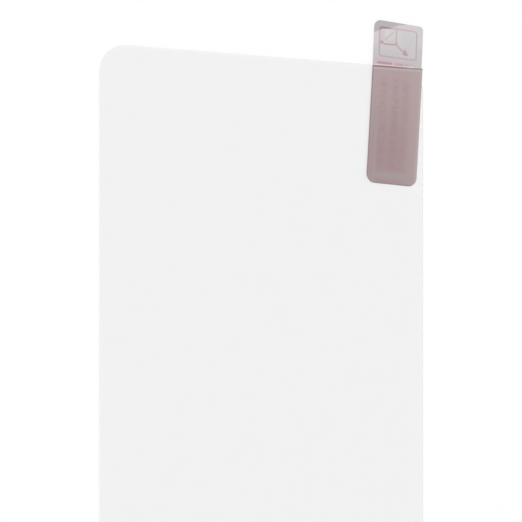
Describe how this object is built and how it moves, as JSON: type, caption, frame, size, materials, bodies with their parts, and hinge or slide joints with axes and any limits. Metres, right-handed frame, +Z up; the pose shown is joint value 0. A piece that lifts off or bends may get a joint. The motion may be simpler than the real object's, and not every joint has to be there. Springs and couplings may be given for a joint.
{
  "type": "phone screen protector",
  "caption": "Clear phone screen protector sheet with rounded corners, its release liner still on and a printed pull tab at one corner.",
  "frame": {"origin": "middle of the sheet's outer face, which is its underside here", "axes": "+Z up through the layers towards the liner and the tab, +Y along the sheet towards the tab's end, +X to the tab's side"},
  "size_m": [0.064, 0.1226, 0.0006],
  "materials": {
    "clear_glass": "clear, polished",
    "clear_liner": "clear film",
    "printed_film": "mauve print on film"
  },
  "bodies": {
    "root": {"protector_sheet": "clear_glass", "release_liner": "clear_liner", "pull_tab": "printed_film"}
  },
  "joints": []
}
